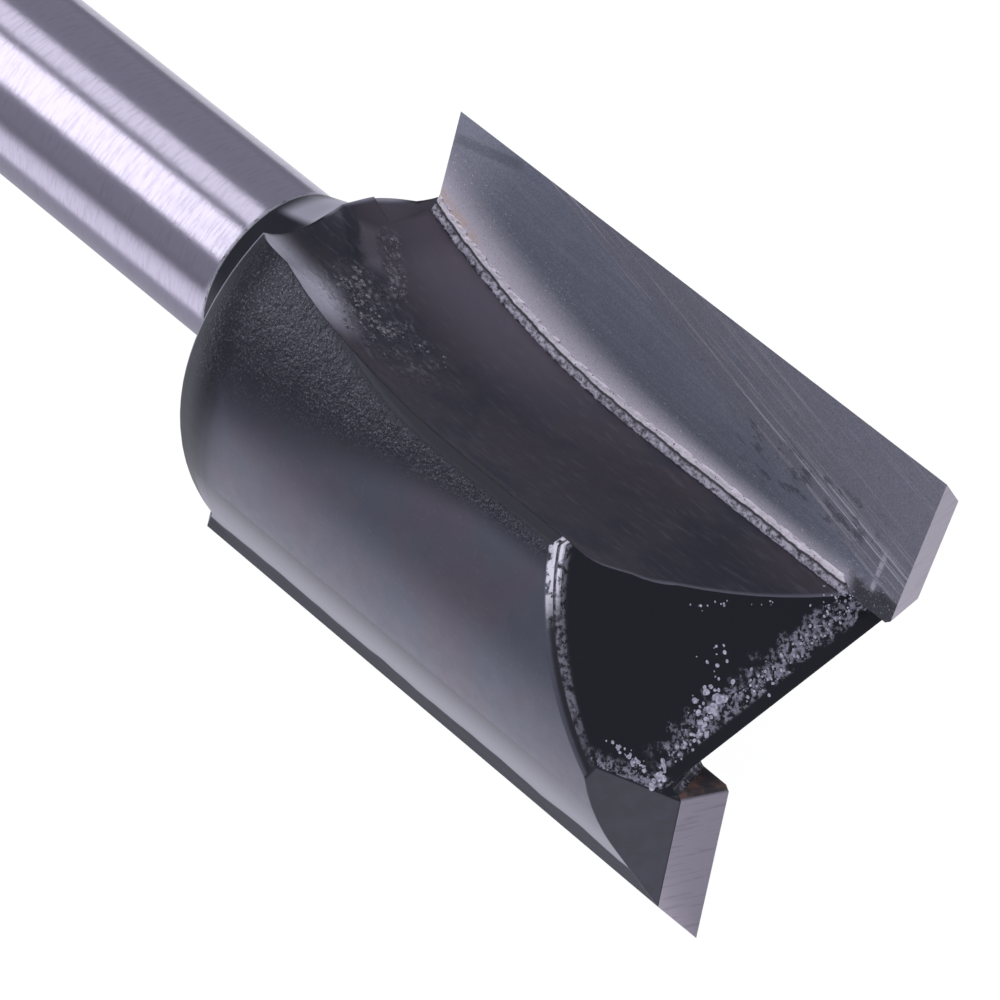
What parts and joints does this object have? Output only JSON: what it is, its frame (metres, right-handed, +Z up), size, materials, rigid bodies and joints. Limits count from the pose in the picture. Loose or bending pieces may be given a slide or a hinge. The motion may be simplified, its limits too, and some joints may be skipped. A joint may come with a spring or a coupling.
{
  "type": "router bit",
  "caption": "Straight router bit with a plain round shank, a fluted steel head and brazed carbide tips, lying at rest on its head.",
  "frame": {"origin": "centre of the shank's free end face, on the tool axis", "axes": "+X along the tool axis towards the cutting end; +Z up as the bit lies at rest, on one cutting edge and the heel of the other wing"},
  "size_m": [0.0988, 0.028, 0.0252],
  "materials": {
    "body_steel": "ground bright on the shank, dark and satin on the head",
    "carbide": "finely ground, satin",
    "braze": "rough, with bright grains"
  },
  "bodies": {
    "root": {"steel_body": "body_steel", "carbide_tip_a": "carbide", "carbide_tip_b": "carbide", "braze_seam_a": "braze", "braze_seam_b": "braze"}
  },
  "joints": []
}
